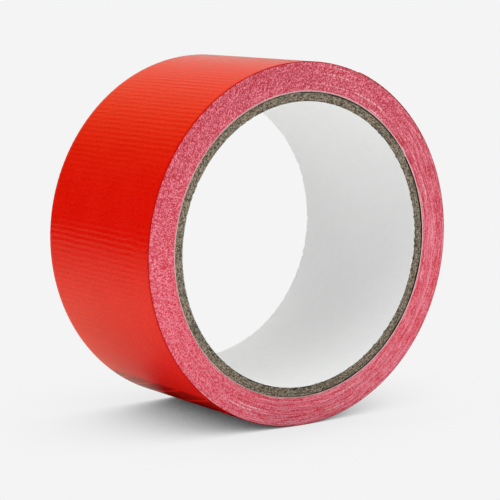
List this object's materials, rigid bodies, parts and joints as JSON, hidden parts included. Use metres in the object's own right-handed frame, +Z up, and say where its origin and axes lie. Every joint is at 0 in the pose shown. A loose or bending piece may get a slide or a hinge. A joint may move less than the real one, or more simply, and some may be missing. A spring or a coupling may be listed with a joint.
{
  "type": "duct tape roll",
  "caption": "Roll of red cloth-backed duct tape wound on a paperboard core, with a free end that peels away from the outermost turn.",
  "frame": {"origin": "on the surface the roll stands on, under the middle of the roll", "axes": "+Y along the roll's axis, from the side seen in the picture to the far side; +Z up; +X to the right of that side"},
  "size_m": [0.0972, 0.05, 0.0972],
  "materials": {
    "core_liner": "matte",
    "chipboard": "matte",
    "tape_adhesive": "matte",
    "tape_scrim": "matte",
    "tape_film": "gloss",
    "tape_winding": "satin"
  },
  "bodies": {
    "roll": {"core_liner": "core_liner", "core_inner_ply": "chipboard", "core_middle_ply": "chipboard", "core_outer_ply": "chipboard", "first_turn_adhesive": "tape_adhesive", "first_turn_scrim": "tape_scrim", "first_turn_film": "tape_film", "tape_winding": "tape_winding", "outer_turn_adhesive": "tape_adhesive", "outer_turn_scrim": "tape_scrim", "outer_turn_film": "tape_film"},
    "tape_end": {"free_end_adhesive": "tape_adhesive", "free_end_scrim": "tape_scrim", "free_end_film": "tape_film"}
  },
  "joints": [
    {"name": "tape_end_peel", "type": "hinge", "parent": "roll", "child": "tape_end", "pos_m": [0.03877, 0, 0.07835], "axis": [0, 1, 0], "range_deg": [0, 120]}
  ]
}
